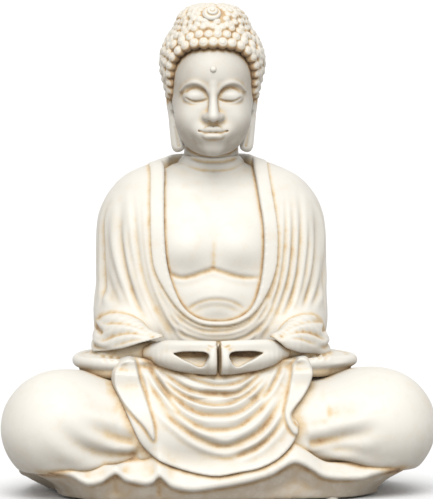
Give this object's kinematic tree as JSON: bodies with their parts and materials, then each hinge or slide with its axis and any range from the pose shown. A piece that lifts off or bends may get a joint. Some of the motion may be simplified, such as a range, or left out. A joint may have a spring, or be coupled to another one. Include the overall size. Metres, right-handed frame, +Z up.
{
  "type": "buddha statue",
  "caption": "Seated meditating Buddha statue in antiqued cream cast stone, hollow sections bonded on dowels, with a closing board and felt pads under the foot.",
  "frame": {"origin": "on the ground under the middle of the statue", "axes": "+Z up, -Y is the front that the figure faces, +X is the figure's left"},
  "size_m": [0.4434, 0.284, 0.5],
  "materials": {
    "cast_stone": "matt cream stone-filled resin with a tan wash in the hollows",
    "steel": "zinc-plated",
    "fibreboard": "raw hardboard",
    "bung_rubber": "moulded rubber",
    "felt": "self-adhesive felt"
  },
  "bodies": {
    "root": {"lap_shell": "cast_stone", "torso_shell": "cast_stone", "chest_panel": "cast_stone", "hem_skirt": "cast_stone", "front_drape": "cast_stone", "head_shell": "cast_stone", "hair_cap": "cast_stone", "crown_jewel": "cast_stone", "forehead_urna": "cast_stone", "left_ear": "cast_stone", "left_sleeve": "cast_stone", "left_hand": "cast_stone", "right_ear": "cast_stone", "right_sleeve": "cast_stone", "right_hand": "cast_stone", "left_arm_dowel": "steel", "left_seat_pin": "steel", "right_arm_dowel": "steel", "right_seat_pin": "steel", "neck_dowel": "steel", "board_screw_1": "steel", "board_screw_2": "steel", "board_screw_3": "steel", "board_screw_4": "steel", "board_screw_5": "steel", "board_screw_6": "steel", "closing_board": "fibreboard", "drain_bung": "bung_rubber", "felt_pad_1": "felt", "felt_pad_2": "felt", "felt_pad_3": "felt", "felt_pad_4": "felt"}
  },
  "joints": []
}
